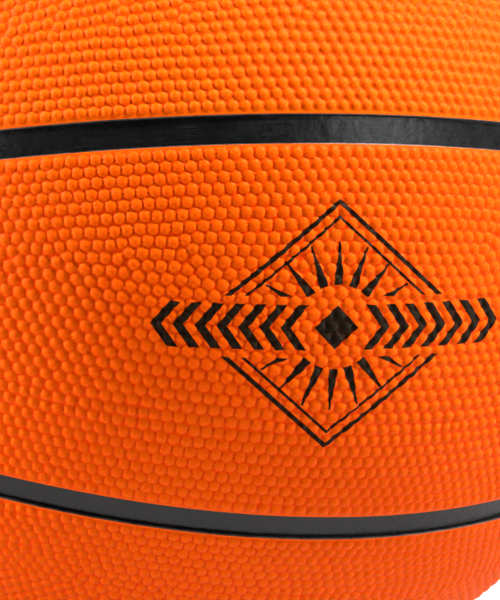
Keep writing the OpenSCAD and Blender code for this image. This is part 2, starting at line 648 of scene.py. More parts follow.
@dataclass
class Panel:
    """One cover panel: a closed shell with grain outside, a rolled lip and a black wall to the channel."""

    cut: Cut
    side: Side
    seams: Seams
    grain: Grain
    seed: int
    # Smooth margin beside the channel
    margin_w: float
    has_valve: bool = False
    corner_r: float = 2.6
    # Distance of the first row of domes from the smooth margin, and from the valve's collar, in dome radii
    first_row: float = 1.02
    collar_row: float = 1.07
    # The finish takes the margin for a place this share of the way up a dome, which keeps the painted valley
    # shade off it
    margin_tone: float = 0.5
    # Steps along the outline and round the valve's hole
    chain_step: float = 1.15
    hole_step: float = 0.9
    valve_hole_r: float = 4.5
    collar_r: float = 7.0
    collar_points: int = 48
    # Rolled lip, black wall that leans out under it to below the channel's floor, and the valve's hole
    lip: Steps = ((0.31, 0.0), (0.17, 0.03), (0.05, 0.1))
    wall: Steps = ((-0.05, 0.22), (-0.12, 0.4), (-0.27, 0.98))
    hole_wall: Steps = ((0.0, 0.22), (0.0, 1.2))
    # How many rows of the lip the black rubber covers
    black_lip_rows: int = 1
    # Rough outline: points on an edge, angle above the first seam, and depth in front of the second one
    rough_count: int = 900
    rough_lift: float = 2.0
    rough_depth: float = 0.01

    @property
    def name(self) -> str:
        """The node's name."""
        return f"{self.cut.label}_{self.side.label}"

    @property
    def smooth_r(self) -> float:
        """Radius of the smooth rubber between the domes."""
        return BALL_R - self.grain.height

    @property
    def valve(self) -> Array:
        """Direction of the valve, about the seam axis."""
        return self.seams.place(90.0 - self.seams.valve_tilt, 0.0)

    def from_valve(self, points: Array) -> Array:
        """Distance from the valve's middle."""
        return BALL_R * np.arccos(np.clip(points @ self.valve, -1.0, 1.0))

    def past_hole(self, points: Array) -> Array:
        """Distance outside the valve's hole."""
        return self.from_valve(points) - self.valve_hole_r

    def inset(self, points: Array) -> Array:
        """Distance inside the panel's outline, with filleted corners.

        Args:
            points: the places.

        Returns:
            The distances.
        """
        edges = [self.seams.before_cross(points), self.seams.inside_oval(points)]
        if self.cut is Cut.STRIP:
            edges = [self.seams.above_ring(points), edges[0], -edges[1]]
        return rounded_inset([edge - self.seams.opening for edge in edges], self.corner_r)

    def room(self, points: Array) -> Array:
        """Distance inside the line of the first row of domes.

        Args:
            points: the places.

        Returns:
            The distances.
        """
        room = self.inset(points) - self.margin_w - self.grain.dome_r * self.first_row
        if self.has_valve:
            collar = self.collar_r + self.grain.dome_r * self.collar_row
            room = np.minimum(room, self.from_valve(points) - collar)
        return room

    def rough_outline(self) -> Array:
        """A closed chain near the outline: arcs along the straight edges, and the oval seam.

        Returns:
            Its places, unevenly spaced.
        """
        count, depth = self.rough_count, -self.rough_depth
        lon = np.linspace(-math.pi / 2.0, math.pi / 2.0, count)
        oval = self.seams.oval_line(lon[::-1])
        if self.cut is Cut.CAP:
            reach = math.radians(self.seams.oval_crossing)
            tilt = np.linspace(-reach, reach, count)
            over = np.stack([np.sin(tilt), np.full(count, depth), np.cos(tilt)], axis=1)
            return np.vstack([unit(over), oval])
        lift = math.radians(self.rough_lift)
        ring = np.stack([math.cos(lift) * np.sin(lon), -math.cos(lift) * np.cos(lon),
                         np.full(count, math.sin(lift))], axis=1)
        lat = np.linspace(lift, math.radians(90.0 - self.seams.oval_crossing), count // 4)
        end = np.stack([np.cos(lat), np.full(len(lat), depth), np.sin(lat)], axis=1)
        return np.vstack([ring, unit(end), oval, unit(end[::-1] * [-1.0, 1.0, 1.0])])

    def outline(self) -> Array:
        """The margin's inner line as a closed chain, with even steps."""
        chain = settle(unit(self.rough_outline()), self.inset, self.margin_w)
        return settle(spaced(chain, self.chain_step), self.inset, self.margin_w, passes=2)

    def first_places(self, chart: Chart) -> Array:
        """Places for domes: rows at even distances from the edge, and a lattice of straight rows inside them.

        Every other row is moved by half a step.

        Args:
            chart: the panel's map.

        Returns:
            The places.
        """
        grain, line, rows = self.grain, self.outline(), []
        levels = np.arange(self.margin_w + grain.dome_r * self.first_row, grain.rows_reach, grain.row_gap)
        for number, level in enumerate(levels):
            line = settle(line, self.inset, float(level), passes=3)
            row = spaced(line, grain.pitch * grain.edge_pitch_share)
            rows.append(unit(row + np.roll(row, -1, axis=0)) if number % 2 else row)
        middle = chart.lattice(grain.pitch, self.cut.reach)
        rows.append(middle[self.inset(middle) > levels[-1] + grain.lattice_gap * grain.row_gap])
        return np.vstack(rows)

    def round_valve(self, radius: float, count: int) -> Array:
        """Even places on a circle about the valve."""
        first, second, _ = Chart(self.valve).axes
        return move(np.repeat(self.valve[None], count, axis=0), fan(first, second, count), radius)

    def edges(self) -> list[Edge]:
        """The panel's closed edges.

        Returns:
            Its outline, and the valve's hole where it has one.
        """
        edges = [Edge(self.outline(), self.inset, self.margin_w, self.lip, self.wall, True)]
        if self.has_valve:
            start = self.lip[0][0]
            radius = self.valve_hole_r + start
            hole = self.round_valve(radius, int(round(math.tau * radius / self.hole_step)))
            edges.append(Edge(hole, self.past_hole, start, self.lip[1:], self.hole_wall, False))
        return edges

    def build(self) -> bpy.types.Object:
        """Builds the closed shell.

        Outside: domes, margin and collar in one Delaunay skin. Then the edges roll over their lips and
        down their walls, and a plain inner face closes the shell.

        Returns:
            The panel, with the share of the way up a dome kept as the value "grain".
        """
        rng = np.random.default_rng(self.seed)
        chart, shell = Chart(self.seams.place(self.cut.latitude, 0.0)), Shell()
        middles = self.grain.lay_out(chart, self.first_places(chart), self.room, self.inset, rng)
        outside, rises, shares = self.grain.domes(chart, middles, rng)
        if self.has_valve:
            outside = np.vstack([outside, self.round_valve(self.collar_r, self.collar_points)])
            rises, shares = (np.append(values, np.zeros(self.collar_points)) for values in (rises, shares))
        edges = self.edges()

        places = np.vstack([outside] + [edge.chain for edge in edges])
        rises = np.append(rises, np.zeros(len(places) - len(outside)))
        shell.add(places * (self.smooth_r + rises)[:, None])
        tops = numbered(len(outside), [edge.chain for edge in edges])
        shell.cover(triangulate(chart.flat(places), tops))
        feet, lines = [], []
        for edge, above in zip(edges, tops):
            for row, (line, radius) in enumerate(edge.rows(self.smooth_r)):
                below = shell.add(line * radius)
                shell.band(above, below, int(edge.is_black and row >= len(edge.lip) - self.black_lip_rows))
                above = below
            feet.append(above)
            lines.append(line)

        back = triangulate(chart.flat(np.vstack([middles] + lines)), numbered(len(middles), lines))
        names = np.concatenate([shell.add(middles * (BALL_R - COVER_T))] + feet)
        shell.cover(names[back])
        points = np.vstack(shell.points)
        grain = np.full(len(points), self.margin_tone)
        grain[:len(outside)] = shares
        LOG.info("%s: %d domes", self.name, len(middles))
        return make_piece(f"{self.name}_skin", self.seams.to_ball(points, self.side),
                          np.vstack(shell.faces).tolist(), np.concatenate(shell.slots), {"grain": grain})


class Course(Enum):
    """The three courses that a channel strip runs along, from the highest floor to the lowest."""

    RING = 0
    ARC = 1
    OVAL = 2


@dataclass
class Channel:
    """One black strip on the floor of a channel, running a little way under the panels beside it."""

    course: Course
    side: Side
    seams: Seams
    # Depth of the floor below the tops of the grain
    floor_drop: float = 1.4
    half_w: float = 3.5
    step: float = 1.0
    # How far the strip stands over the cover's inner face
    base_lift: float = 0.1
    # Each course lies lower than the one before it, by more than the floor dips
    course_drop: float = 0.06
    # Across the floor: share of the half width, and how far that place dips
    floor_line: Steps = ((1.0, 0.0), (0.72, 0.01), (0.4, 0.035), (0.0, 0.045))

    @property
    def name(self) -> str:
        """The node's name."""
        height = "high" if self.side is Side.FRONT_HIGH else "low"
        return {Course.RING: "channel_ring", Course.ARC: f"channel_arc_{height}",
                Course.OVAL: f"channel_oval_{self.side.label}"}[self.course]

    def line(self) -> tuple[Array, Array]:
        """The strip's middle: a whole circle, half a circle, or half of the oval seam.

        Returns:
            Places along it, and the tangents across it.
        """
        count = int(BALL_R * math.pi / self.step)
        if self.course is Course.RING:
            angle = np.arange(2 * count) * math.pi / count
            along = np.stack([np.cos(angle), np.sin(angle), np.zeros(2 * count)], axis=1)
            return along, np.tile([0.0, 0.0, 1.0], (2 * count, 1))
        angle = np.linspace(-math.pi / 2.0, math.pi / 2.0, count)
        if self.course is Course.ARC:
            along = np.stack([np.sin(angle), np.zeros(count), np.cos(angle)], axis=1)
            return along, np.tile([0.0, 1.0, 0.0], (count, 1))
        along = self.seams.oval_line(angle)
        return along, unit(np.cross(np.gradient(along, axis=0), along))

    def section(self) -> tuple[Array, Array]:
        """The strip's closed section: the dipped floor and a flat base.

        Returns:
            Offsets across the strip and radii, point by point.
        """
        top = BALL_R - self.floor_drop - self.course.value * self.course_drop
        base = BALL_R - COVER_T + self.base_lift
        half = [(share * self.half_w, top - dip) for share, dip in self.floor_line]
        over = [(-offset, radius) for offset, radius in half] + half[-2::-1]
        loop = np.array(over + [(self.half_w, base), (-self.half_w, base)])
        return loop[:, 0], loop[:, 1]

    def build(self) -> bpy.types.Object:
        """Builds the strip: its section carried along its middle line.

        Returns:
            A closed tube, or one with two flat ends.
        """
        along, across = self.line()
        offsets, radii = self.section()
        rows, columns = len(along), len(offsets)
        places = move(np.repeat(along[:, None], columns, axis=1), np.repeat(across[:, None], columns, axis=1),
                      np.tile(offsets, (rows, 1)))
        points = (places * radii[None, :, None]).reshape(-1, 3)
        steps = np.linalg.norm(np.diff(along, axis=0), axis=1) * BALL_R
        values = {"along": np.repeat(np.concatenate([[0.0], np.cumsum(steps)]), columns),
                  "across": np.tile(offsets, rows)}
        is_loop = self.course is Course.RING
        faces = tube_faces(rows, columns, is_loop).tolist()
        if not is_loop:
            faces += [list(range(columns)), list(range((rows - 1) * columns, rows * columns))]
        return make_piece(f"{self.name}_strip", self.seams.to_ball(points, self.side), faces, values=values)


@dataclass
class ValvePlug:
    """The self-sealing plug: a round head with a funnel, a needle passage and a shank."""

    top: float = 111.0
    bottom: float = 91.0
    head_r: float = 4.4
    head_t: float = 1.5
    shank_r: float = 3.2
    shank_chamfer: float = 0.4
    needle_r: float = 1.05
    needle_bottom: float = 97.2
    funnel_r: float = 2.0
    funnel_t: float = 0.8
    funnel_points: int = 7
    # The face lies below the top, with a crown and a low bead on it
    face_drop: float = 0.12
    face_points: int = 16
    crown: float = 0.03
    bead_r: float = 3.1
    bead_h: float = 0.16
    bead_w: float = 0.28
    # Rounded rim: distance inside the head's edge, and depth below the face's edge
    rim: Steps = ((0.08, 0.08), (0.0, 0.28))
    face_inside: float = 0.25
    face_outside: float = 0.1
    turns: int = 72

    def profile(self) -> Array:
        """The plug's outline: down the passage, over the head and down the shank.

        The funnel is a quarter sine, and the head carries a low bead on a gentle crown.

        Returns:
            Rows of radius and height.
        """
        share = np.linspace(0.0, 1.0, self.funnel_points)
        depth = (self.funnel_t - self.face_drop) * np.sin(share * math.pi / 2.0)
        funnel = np.stack([self.needle_r + (self.funnel_r - self.needle_r) * share ** 2,
                           self.top - self.funnel_t + depth], axis=1)
        radius = np.linspace(self.funnel_r + self.face_outside, self.head_r - self.face_inside,
                             self.face_points)
        bead = self.bead_h * np.exp(-((radius - self.bead_r) / self.bead_w) ** 2)
        crown = self.crown * (radius - self.funnel_r) ** 2
        face = np.stack([radius, self.top - self.face_drop - crown + bead], axis=1)
        rim = [[self.head_r - inside, face[-1, 1] - drop] for inside, drop in self.rim]
        shoulder, chamfer = self.top - self.head_t, self.shank_chamfer
        shank = [[self.head_r, shoulder], [self.shank_r, shoulder],
                 [self.shank_r, self.bottom + chamfer], [self.shank_r - chamfer, self.bottom]]
        return np.vstack([[[self.needle_r, self.needle_bottom]], funnel, face, rim, shank])

    def build(self) -> bpy.types.Object:
        """Turns the profile about the valve's axis and closes its two ends on the axis.

        Returns:
            The plug.
        """
        radius, height = self.profile().T
        rows = len(radius)
        angle = np.arange(self.turns) * math.tau / self.turns
        grid = np.stack([radius[:, None] * np.cos(angle), radius[:, None] * np.sin(angle),
                         np.repeat(height[:, None], self.turns, axis=1)], axis=2).reshape(-1, 3)
        points = np.vstack([grid, [[0.0, 0.0, height[0]], [0.0, 0.0, height[-1]]]])
        column = np.arange(self.turns)
        following, last = np.roll(column, -1), (rows - 1) * self.turns
        ends = [np.stack([following, column, np.full(self.turns, len(grid))], axis=1),
                np.stack([last + column, last + following, np.full(self.turns, len(grid) + 1)], axis=1)]
        faces = tube_faces(rows, self.turns, False).tolist() + np.vstack(ends).tolist()
        return make_piece("valve_plug_turned", points, faces)


class Wire:
    """A value in a node tree; sums on it add the Math nodes that work them out."""

    def __init__(self, bench: "Bench", socket: bpy.types.NodeSocket) -> None:
        """Keeps the tree and the socket that the value comes from."""
        self.bench = bench
        self.socket = socket

    def math(self, operation: str, *others: "Wire | float") -> "Wire":
        """The outcome of one Math node.

        Args:
            operation: the node's operation.
            others: what goes into its further sockets.

        Returns:
            The new value.
        """
        node = self.bench.add("ShaderNodeMath", operation=operation)
        for socket, value in zip(node.inputs, (self,) + others):
            self.bench.feed(socket, value)
        return Wire(self.bench, node.outputs[0])

    def __add__(self, other: "Wire | float") -> "Wire":
        """Sum."""
        return self.math("ADD", other)

    def __sub__(self, other: "Wire | float") -> "Wire":
        """Difference."""
        return self.math("SUBTRACT", other)

    def __mul__(self, other: "Wire | float") -> "Wire":
        """Product."""
        return self.math("MULTIPLY", other)

    def __truediv__(self, other: "Wire | float") -> "Wire":
        """Quotient."""
        return self.math("DIVIDE", other)

    def __abs__(self) -> "Wire":
        """Size without sign."""
        return self.math("ABSOLUTE")

    def most(self, other: "Wire | float") -> "Wire":
        """The larger of two values."""
        return self.math("MAXIMUM", other)

    def rest(self) -> "Wire":
        """1 less the value."""
        return (self * -1.0) + 1.0

    def wrapped(self, period: float) -> "Wire":
        """Distance from the middle of the period that the value lies in."""
        return abs((self / period).math("FRACT") - 0.5) * period

    def rise(self, low: float, high: float, bottom: float = 0.0, top: float = 1.0) -> "Wire":
        """A smooth step.

        Args:
            low: the value where the step begins.
            high: the value where it ends.
            bottom: the outcome up to the beginning.
            top: the outcome from the end on.

        Returns:
            The new value.
        """
        node = self.bench.add("ShaderNodeMapRange", interpolation_type="SMOOTHSTEP")
        for socket, value in zip(node.inputs, (self, low, high, bottom, top)):
            self.bench.feed(socket, value)
        return Wire(self.bench, node.outputs[0])

    def within(self, limit: float, blur: float) -> "Wire":
        """1 below a limit and 0 above it, over a short blur."""
        return self.rise(limit - blur / 2.0, limit + blur / 2.0, 1.0, 0.0)


class Bench:
    """A node tree being put together: most methods add a node and give back what comes out."""

    def __init__(self, tree: bpy.types.NodeTree) -> None:
        """Keeps the tree."""
        self.tree = tree

    def add(self, kind: str, **settings: object) -> bpy.types.Node:
        """Adds a node.

        Args:
            kind: the node's type.
            settings: the values of its properties.

        Returns:
            The node.
        """
        node = self.tree.nodes.new(kind)
        for name, value in settings.items():
            setattr(node, name, value)
        return node

    def feed(self, socket: bpy.types.NodeSocket, value: "Wire | float | Sequence[float]") -> None:
        """Links a value to a socket, or writes a plain number or colour into it.

        Args:
            socket: the socket.
            value: what goes in.
        """
        if isinstance(value, Wire):
            self.tree.links.new(value.socket, socket)
        else:
            socket.default_value = value

    def source(self, kind: str, name: str) -> Wire:
        """What a new node of a kind puts out under a name."""
        return Wire(self, self.add(kind).outputs[name])

    def place(self, turn: Matrix | None = None) -> Wire:
        """Object coordinates in millimetres.

        Args:
            turn: a turn about the ball's middle, where there is one.

        Returns:
            The place as a vector.
        """
        mapping = self.add("ShaderNodeMapping")
        mapping.inputs["Scale"].default_value = (1.0 / MM,) * 3
        if turn is not None:
            mapping.inputs["Rotation"].default_value = turn.to_euler("XYZ")
        self.feed(mapping.inputs["Vector"], self.source("ShaderNodeTexCoord", "Object"))
        return Wire(self, mapping.outputs["Vector"])

    def parts(self, vector: Wire) -> tuple[Wire, Wire, Wire]:
        """The three parts of a vector.

        Args:
            vector: the vector.

        Returns:
            Its x, y and z.
        """
        node = self.add("ShaderNodeSeparateXYZ")
        self.feed(node.inputs[0], vector)
        return Wire(self, node.outputs[0]), Wire(self, node.outputs[1]), Wire(self, node.outputs[2])

    def noise(self, place: Wire, size: "Wire | float", detail: float = 2.0, roughness: float = 0.5) -> Wire:
        """Cloudy noise.

        Args:
            place: where it is asked.
            size: the size of its patches in millimetres.
            detail: how many finer layers lie over them.
            roughness: how strong each finer layer is.

        Returns:
            A value from 0 to 1.
        """
        node = self.add("ShaderNodeTexNoise")
        scale = size.math("POWER", -1.0) if isinstance(size, Wire) else 1.0 / size
        values = {"Vector": place, "Scale": scale, "Detail": detail, "Roughness": roughness}
        for name, value in values.items():
            self.feed(node.inputs[name], value)
        return Wire(self, node.outputs["Fac"])

    def cells(self, place: Wire, size: float) -> Wire:
        """A scatter of points.

        Args:
            place: where it is asked.
            size: how far the points lie apart, in millimetres.

        Returns:
            Distance from the nearest point, in such sizes.
        """
        node = self.add("ShaderNodeTexVoronoi")
        for name, value in (("Vector", place), ("Scale", 1.0 / size)):
            self.feed(node.inputs[name], value)
        return Wire(self, node.outputs["Distance"])

    def kept_value(self, name: str) -> Wire:
        """A number kept on the vertices."""
        return Wire(self, self.add("ShaderNodeAttribute", attribute_name=name).outputs["Fac"])

    def vector(self, x: "Wire | float", y: "Wire | float", z: "Wire | float") -> Wire:
        """A vector from its parts.

        Args:
            x: its first part.
            y: its second part.
            z: its third part.

        Returns:
            The vector.
        """
        node = self.add("ShaderNodeCombineXYZ")
        for socket, value in zip(node.inputs, (x, y, z)):
            self.feed(socket, value)
        return Wire(self, node.outputs[0])

    def blend(self, first: "Wire | Colour", second: "Wire | Colour", share: "Wire | float") -> Wire:
        """A colour between two.

        Args:
            first: one colour.
            second: the other one.
            share: the share of the second.

        Returns:
            The colour.
        """
        node = self.add("ShaderNodeMix", data_type="RGBA")
        self.feed(node.inputs[0], share)
        for socket, colour in zip((s for s in node.inputs if s.type == "RGBA"), (first, second)):
            self.feed(socket, colour if isinstance(colour, Wire) else (*colour, 1.0))
        return Wire(self, next(s for s in node.outputs if s.type == "RGBA"))

    def bump(self, height: Wire, depth: float, strength: float) -> Wire:
        """Relief.

        Args:
            height: the height, from 0 to 1.
            depth: what a height of 1 stands for, in millimetres.
            strength: the share of it that shows.

        Returns:
            The normal.
        """
        node = self.add("ShaderNodeBump")
        for name, value in (("Strength", strength), ("Distance", depth * MM), ("Height", height)):
            self.feed(node.inputs[name], value)
        return Wire(self, node.outputs["Normal"])

    def effect(self, group: bpy.types.NodeTree, **values: "Wire | float") -> dict[str, Wire]:
        """A shared effect with its own values here.

        Args:
            group: the effect's node group.
            values: its inputs, with underscores for the spaces in their names.

        Returns:
            Its outputs by name.
        """
        node = self.add("ShaderNodeGroup", node_tree=group)
        for name, value in values.items():
            self.feed(node.inputs[name.replace("_", " ")], value)
        return {socket.name: Wire(self, socket) for socket in node.outputs}


class Effect:
    """A node group that is built once and placed in several materials."""

    name: str
    inputs: dict[str, str]
    outputs: tuple[str, ...]

    def group(self) -> bpy.types.NodeTree:
        """The node group, built at the first call.

        Returns:
            The group.
        """
        if self.name in bpy.data.node_groups:
            return bpy.data.node_groups[self.name]
        tree = bpy.data.node_groups.new(self.name, "ShaderNodeTree")
        for name, kind in self.inputs.items():
            tree.interface.new_socket(name, in_out="INPUT", socket_type=kind)
        for name in self.outputs:
            tree.interface.new_socket(name, in_out="OUTPUT", socket_type="NodeSocketFloat")
        bench = Bench(tree)
        source, sink = bench.add("NodeGroupInput"), bench.add("NodeGroupOutput")
        given = {socket.name: Wire(bench, socket) for socket in source.outputs if socket.name}
        for name, value in self.work_out(bench, given).items():
            bench.feed(sink.inputs[name], value)
        return tree

    def work_out(self, bench: Bench, given: dict[str, Wire]) -> dict[str, Wire]:
        """The effect's outputs from its inputs."""
        raise NotImplementedError


class RubberSkin(Effect):
    """What moulded rubber shows up close: soft clouds of tone and fine pores."""

    name = "rubber_skin"
    inputs = {"Place": "NodeSocketVector", "Cloud Size": "NodeSocketFloat", "Pore Size": "NodeSocketFloat"}
    outputs = ("Clouds", "Pores")
    # Size of the wide pores in fine ones, and the shares of both kinds
    wide_pores = 4.0
    wide_share = 0.3
    fine_share = 0.7
    # Levels of the noise that become 0 and 1
    cloud_levels = (0.25, 0.75)
    pore_levels = (0.2, 0.8)

    def work_out(self, bench: Bench, given: dict[str, Wire]) -> dict[str, Wire]:
        """Clouds are wide noise; pores are two layers of fine noise.

        Args:
            bench: the group's tree.
            given: the group's inputs by name.

        Returns:
            The group's outputs by name.
        """
        place = given["Place"]
        clouds = bench.noise(place, given["Cloud Size"], detail=3.0, roughness=0.55)
        fine = bench.noise(place, given["Pore Size"], detail=3.0, roughness=0.6)
        wide = bench.noise(place, given["Pore Size"] * self.wide_pores, detail=1.0)
        pores = fine * self.fine_share + wide * self.wide_share
        return {"Clouds": clouds.rise(*self.cloud_levels), "Pores": pores.rise(*self.pore_levels)}


class Dust(Effect):
    """Handling marks: a thin film in patches and small specks of lint."""

    name = "dust"
    inputs = {"Place": "NodeSocketVector", "Amount": "NodeSocketFloat"}
    outputs = ("Film", "Lint")
    # Sizes in millimetres, and the radius of a speck and its blur as shares of its cell
    film_size = 9.0
    speck_cell = 0.9
    speck_r_share = 0.16
    speck_blur_share = 0.08
    swarm_size = 2.3
    # Levels of the noise that become 0 and 1
    film_levels = (0.5, 0.85)
    swarm_levels = (0.6, 0.68)

    def work_out(self, bench: Bench, given: dict[str, Wire]) -> dict[str, Wire]:
        """Film is torn noise; lint is the inner part of the cells of a scatter, in a few swarms.

        Args:
            bench: the group's tree.
            given: the group's inputs by name.

        Returns:
            The group's outputs by name.
        """
        place, amount = given["Place"], given["Amount"]
        film = bench.noise(place, self.film_size, detail=5.0, roughness=0.7).rise(*self.film_levels)
        speck = bench.cells(place, self.speck_cell).within(self.speck_r_share, self.speck_blur_share)
        swarm = bench.noise(place, self.swarm_size, detail=1.0).rise(*self.swarm_levels)
        return {"Film": film * amount, "Lint": speck * swarm * amount}


@dataclass(frozen=True)
class Finish:
    """What a surface is made of. Subclasses say how its colour, roughness and relief vary.

    Sizes of patterns and depths of relief are millimetres. A field whose name ends in share, roughness or
    relief says how much its pattern counts in the colour, the roughness or the height, and one whose name
    ends in levels says which values of a noise become 0 and 1.
    """

    name: str

    def material(self) -> bpy.types.Material:
        """The material, made at the first call.

        Returns:
            The material of the finish's name.
        """
        if self.name in bpy.data.materials:
            return bpy.data.materials[self.name]
        material = bpy.data.materials.new(self.name)
        material.use_nodes = True
        material.node_tree.nodes.clear()
        bench = Bench(material.node_tree)
        shader = bench.add("ShaderNodeBsdfPrincipled")
        output = bench.add("ShaderNodeOutputMaterial")
        material.node_tree.links.new(shader.outputs[0], output.inputs[0])
        for socket, value in self.surface(bench).items():
            bench.feed(shader.inputs[socket], value)
        return material

    def surface(self, bench: Bench) -> Sockets:
        """What goes into the shader, by the name of its socket."""
        raise NotImplementedError

    @staticmethod
    def rubber(bench: Bench, place: Wire, cloud_size: float, pore_size: float) -> dict[str, Wire]:
        """The shared rubber skin with its own sizes."""
        return bench.effect(RubberSkin().group(), Place=place, Cloud_Size=cloud_size, Pore_Size=pore_size)


@dataclass(frozen=True)
class Emblem:
    """The printed device in the middle of a strip: a broken diamond frame, rays and a band of chevrons.

    Lengths are millimetres on a map whose x runs east and whose y runs north of the device's middle.
    """

    latitude: float = -20.5
    longitude: float = -7.0
    frame_half_w: float = 29.5
    frame_half_h: float = 25.0
    frame_line: float = 0.95
    frame_gap: float = 2.3
    inner_line: float = 0.6
    band_half_h: float = 4.6
    band_gap: float = 1.6
    chevron_period: float = 4.2
    # Where the chevrons begin and end, in periods
    band_from: float = 2.0
    band_to: float = 9.0
    chevron_w: float = 2.1
    chevron_slope: float = 0.75
    stone_half_w: float = 4.6
    stone_half_h: float = 4.6
    ray_count: int = 18
    ray_from: float = 8.6
    ray_to: float = 17.2
    # Width of a ray at its inner end, and the share of it at the outer end
    ray_w: float = 1.9
    ray_end_share: float = 0.25
    blur: float = 0.18

    def turn(self, seams: Seams) -> Matrix:
        """The turn from the ball's frame to the device's own.

        Args:
            seams: the seams, whose axis is the device's north.

        Returns:
            A matrix whose rows are east, north and outward.
        """
        out = seams.to_ball(seams.place(self.latitude, self.longitude))
        axis = seams.to_ball(np.array([0.0, 0.0, 1.0]))
        east = unit(np.cross(axis, out))
        return Matrix(np.stack([east, np.cross(out, east), out]).tolist())

    def mask(self, bench: Bench, seams: Seams) -> Wire:
        """Where the ink is.

        The frame is a pair of lines at |x| / w + |y| / h = 1, the rays are bars that narrow with the
        distance from the middle, the chevrons repeat in |x| + slope |y|, and the stone is a small diamond.

        Args:
            bench: the material's tree.
            seams: the seams that the device is placed by.

        Returns:
            1 on the ink and 0 beside it.
        """
        x, y, z = bench.parts(bench.place(self.turn(seams)))
        across, up = abs(x), abs(y)
        off_band = up.within(self.band_half_h + self.band_gap, self.blur).rest()
        slant = 1.0 / math.hypot(1.0 / self.frame_half_w, 1.0 / self.frame_half_h)
        outside = ((across / self.frame_half_w) + (up / self.frame_half_h) - 1.0) * slant
        outer = abs(outside).within(self.frame_line / 2.0, self.blur)
        inner = abs(outside + self.frame_gap).within(self.inner_line / 2.0, self.blur)

        radius = ((x * x) + (y * y)).math("SQRT")
        from_ray = y.math("ARCTAN2", x).wrapped(math.tau / self.ray_count) * radius
        half_w = self.ray_w / 2.0
        taper = radius.rise(self.ray_from, self.ray_to, half_w, half_w * self.ray_end_share)
        middle, half = (self.ray_from + self.ray_to) / 2.0, (self.ray_to - self.ray_from) / 2.0
        ray = (from_ray - taper).within(0.0, self.blur) * abs(radius - middle).within(half, self.blur)

        lean = across + up * self.chevron_slope
        chevron = lean.wrapped(self.chevron_period).within(self.chevron_w / 2.0, self.blur)
        middle = (self.band_from + self.band_to) / 2.0 * self.chevron_period
        half = (self.band_to - self.band_from) / 2.0 * self.chevron_period
        chevron = chevron * abs(lean - middle).within(half, self.blur)
        chevron = chevron * up.within(self.band_half_h, self.blur)
        stone = (across / self.stone_half_w) + (up / self.stone_half_h)
        ink = (outer.most(inner).most(ray) * off_band).most(chevron)
        # The far side of the ball has none of it
        return ink.most(stone.within(1.0, self.blur / self.stone_half_w)) * z.rise(0.0, 1.0)


@dataclass(frozen=True)
class CoverRubber(Finish):
    """Orange moulded rubber with printed ink where given, and painted shade: darker and redder between the
    domes.
    """

    name: str = "cover_rubber"
    top: Colour = (0.98, 0.1, 0.0004)
    pale: Colour = (0.98, 0.114, 0.0005)
    # Painted shade between the domes: darker and redder than the domes' tops
    valley: Colour = (0.98, 0.06, 0.0003)
    ink: Colour = (0.002, 0.002, 0.002)
    dusty: Colour = (0.92, 0.26, 0.03)
    cloud_share: float = 0.6
    pore_share: float = 0.12
    film_share: float = 0.12
    lint_share: float = 0.3
    # From here on up a dome the painted valley shade is gone and it has its full colour
    valley_shade_end: float = 0.5
    least_roughness: float = 0.39
    pore_roughness: float = 0.1
    cloud_roughness: float = 0.05
    ink_roughness: float = 0.2
    coat_roughness: float = 0.4
    specular: float = 0.18
    tint: Colour = (1.0, 0.5, 0.03)
    # Light that the rubber lets through: its share, how far it reaches, and that reach by colour
    glow: float = 0.25
    glow_reach: float = 0.4
    glow_shares: Colour = (1.0, 0.03, 0.01)
    cloud_size: float = 26.0
    pore_size: float = 0.3
    pore_depth: float = 0.03
    lint_relief: float = 0.5
    strength: float = 0.8
    dust: float = 0.5
    # The ink wears off over this stretch of the way up a dome, in patches, down to its least share
    ink_wear: tuple[float, float] = (0.12, 0.4)
    ink_patch: float = 0.5
    patch_share: float = 0.5
    least_ink: float = 0.95
    ink_coat: float = 0.1
    emblem: Emblem | None = None
    seams: Seams = Seams()

    def surface(self, bench: Bench) -> Sockets:
        """Painted shade by the way up a dome, darker and redder toward the valleys; tone by clouds; ink wears
        off in the valleys.

        Args:
            bench: the material's tree.

        Returns:
            What goes into the shader, by the name of its socket.
        """
        place = bench.place()
        skin = self.rubber(bench, place, self.cloud_size, self.pore_size)
        dust = bench.effect(Dust().group(), Place=place, Amount=self.dust)
        up = bench.kept_value("grain")
        # Painted shade: the colour turns darker and redder from the domes down into the valleys between them
        clear_of_valley_shade = (up + skin["Pores"] * self.pore_share).rise(0.0, self.valley_shade_end)
        colour = bench.blend(self.top, self.pale, skin["Clouds"] * self.cloud_share)
        colour = bench.blend(self.valley, colour, clear_of_valley_shade)
        marks = dust["Film"] * self.film_share + dust["Lint"] * self.lint_share
        colour = bench.blend(colour, self.dusty, marks)
        rough = skin["Pores"] * self.pore_roughness + skin["Clouds"] * self.cloud_roughness
        rough = rough + self.least_roughness
        inked: Wire | float = 0.0
        if self.emblem:
            patches = bench.noise(place, self.ink_patch) * self.patch_share
            left = (up + patches).rise(*self.ink_wear, self.least_ink)
            inked = self.emblem.mask(bench, self.seams) * left
            colour = bench.blend(colour, self.ink, inked)
            rough = rough + inked * self.ink_roughness
        relief = skin["Pores"] + dust["Lint"] * self.lint_relief
        return {"Base Color": colour, "Roughness": rough, "Specular IOR Level": self.specular,
                "Specular Tint": self.tint + (1.0,), "Subsurface Weight": self.glow,
                "Subsurface Radius": self.glow_shares, "Subsurface Scale": self.glow_reach * MM,
                "Coat Weight": inked * self.ink_coat, "Coat Roughness": self.coat_roughness,
                "Normal": bench.bump(relief, self.pore_depth, self.strength)}


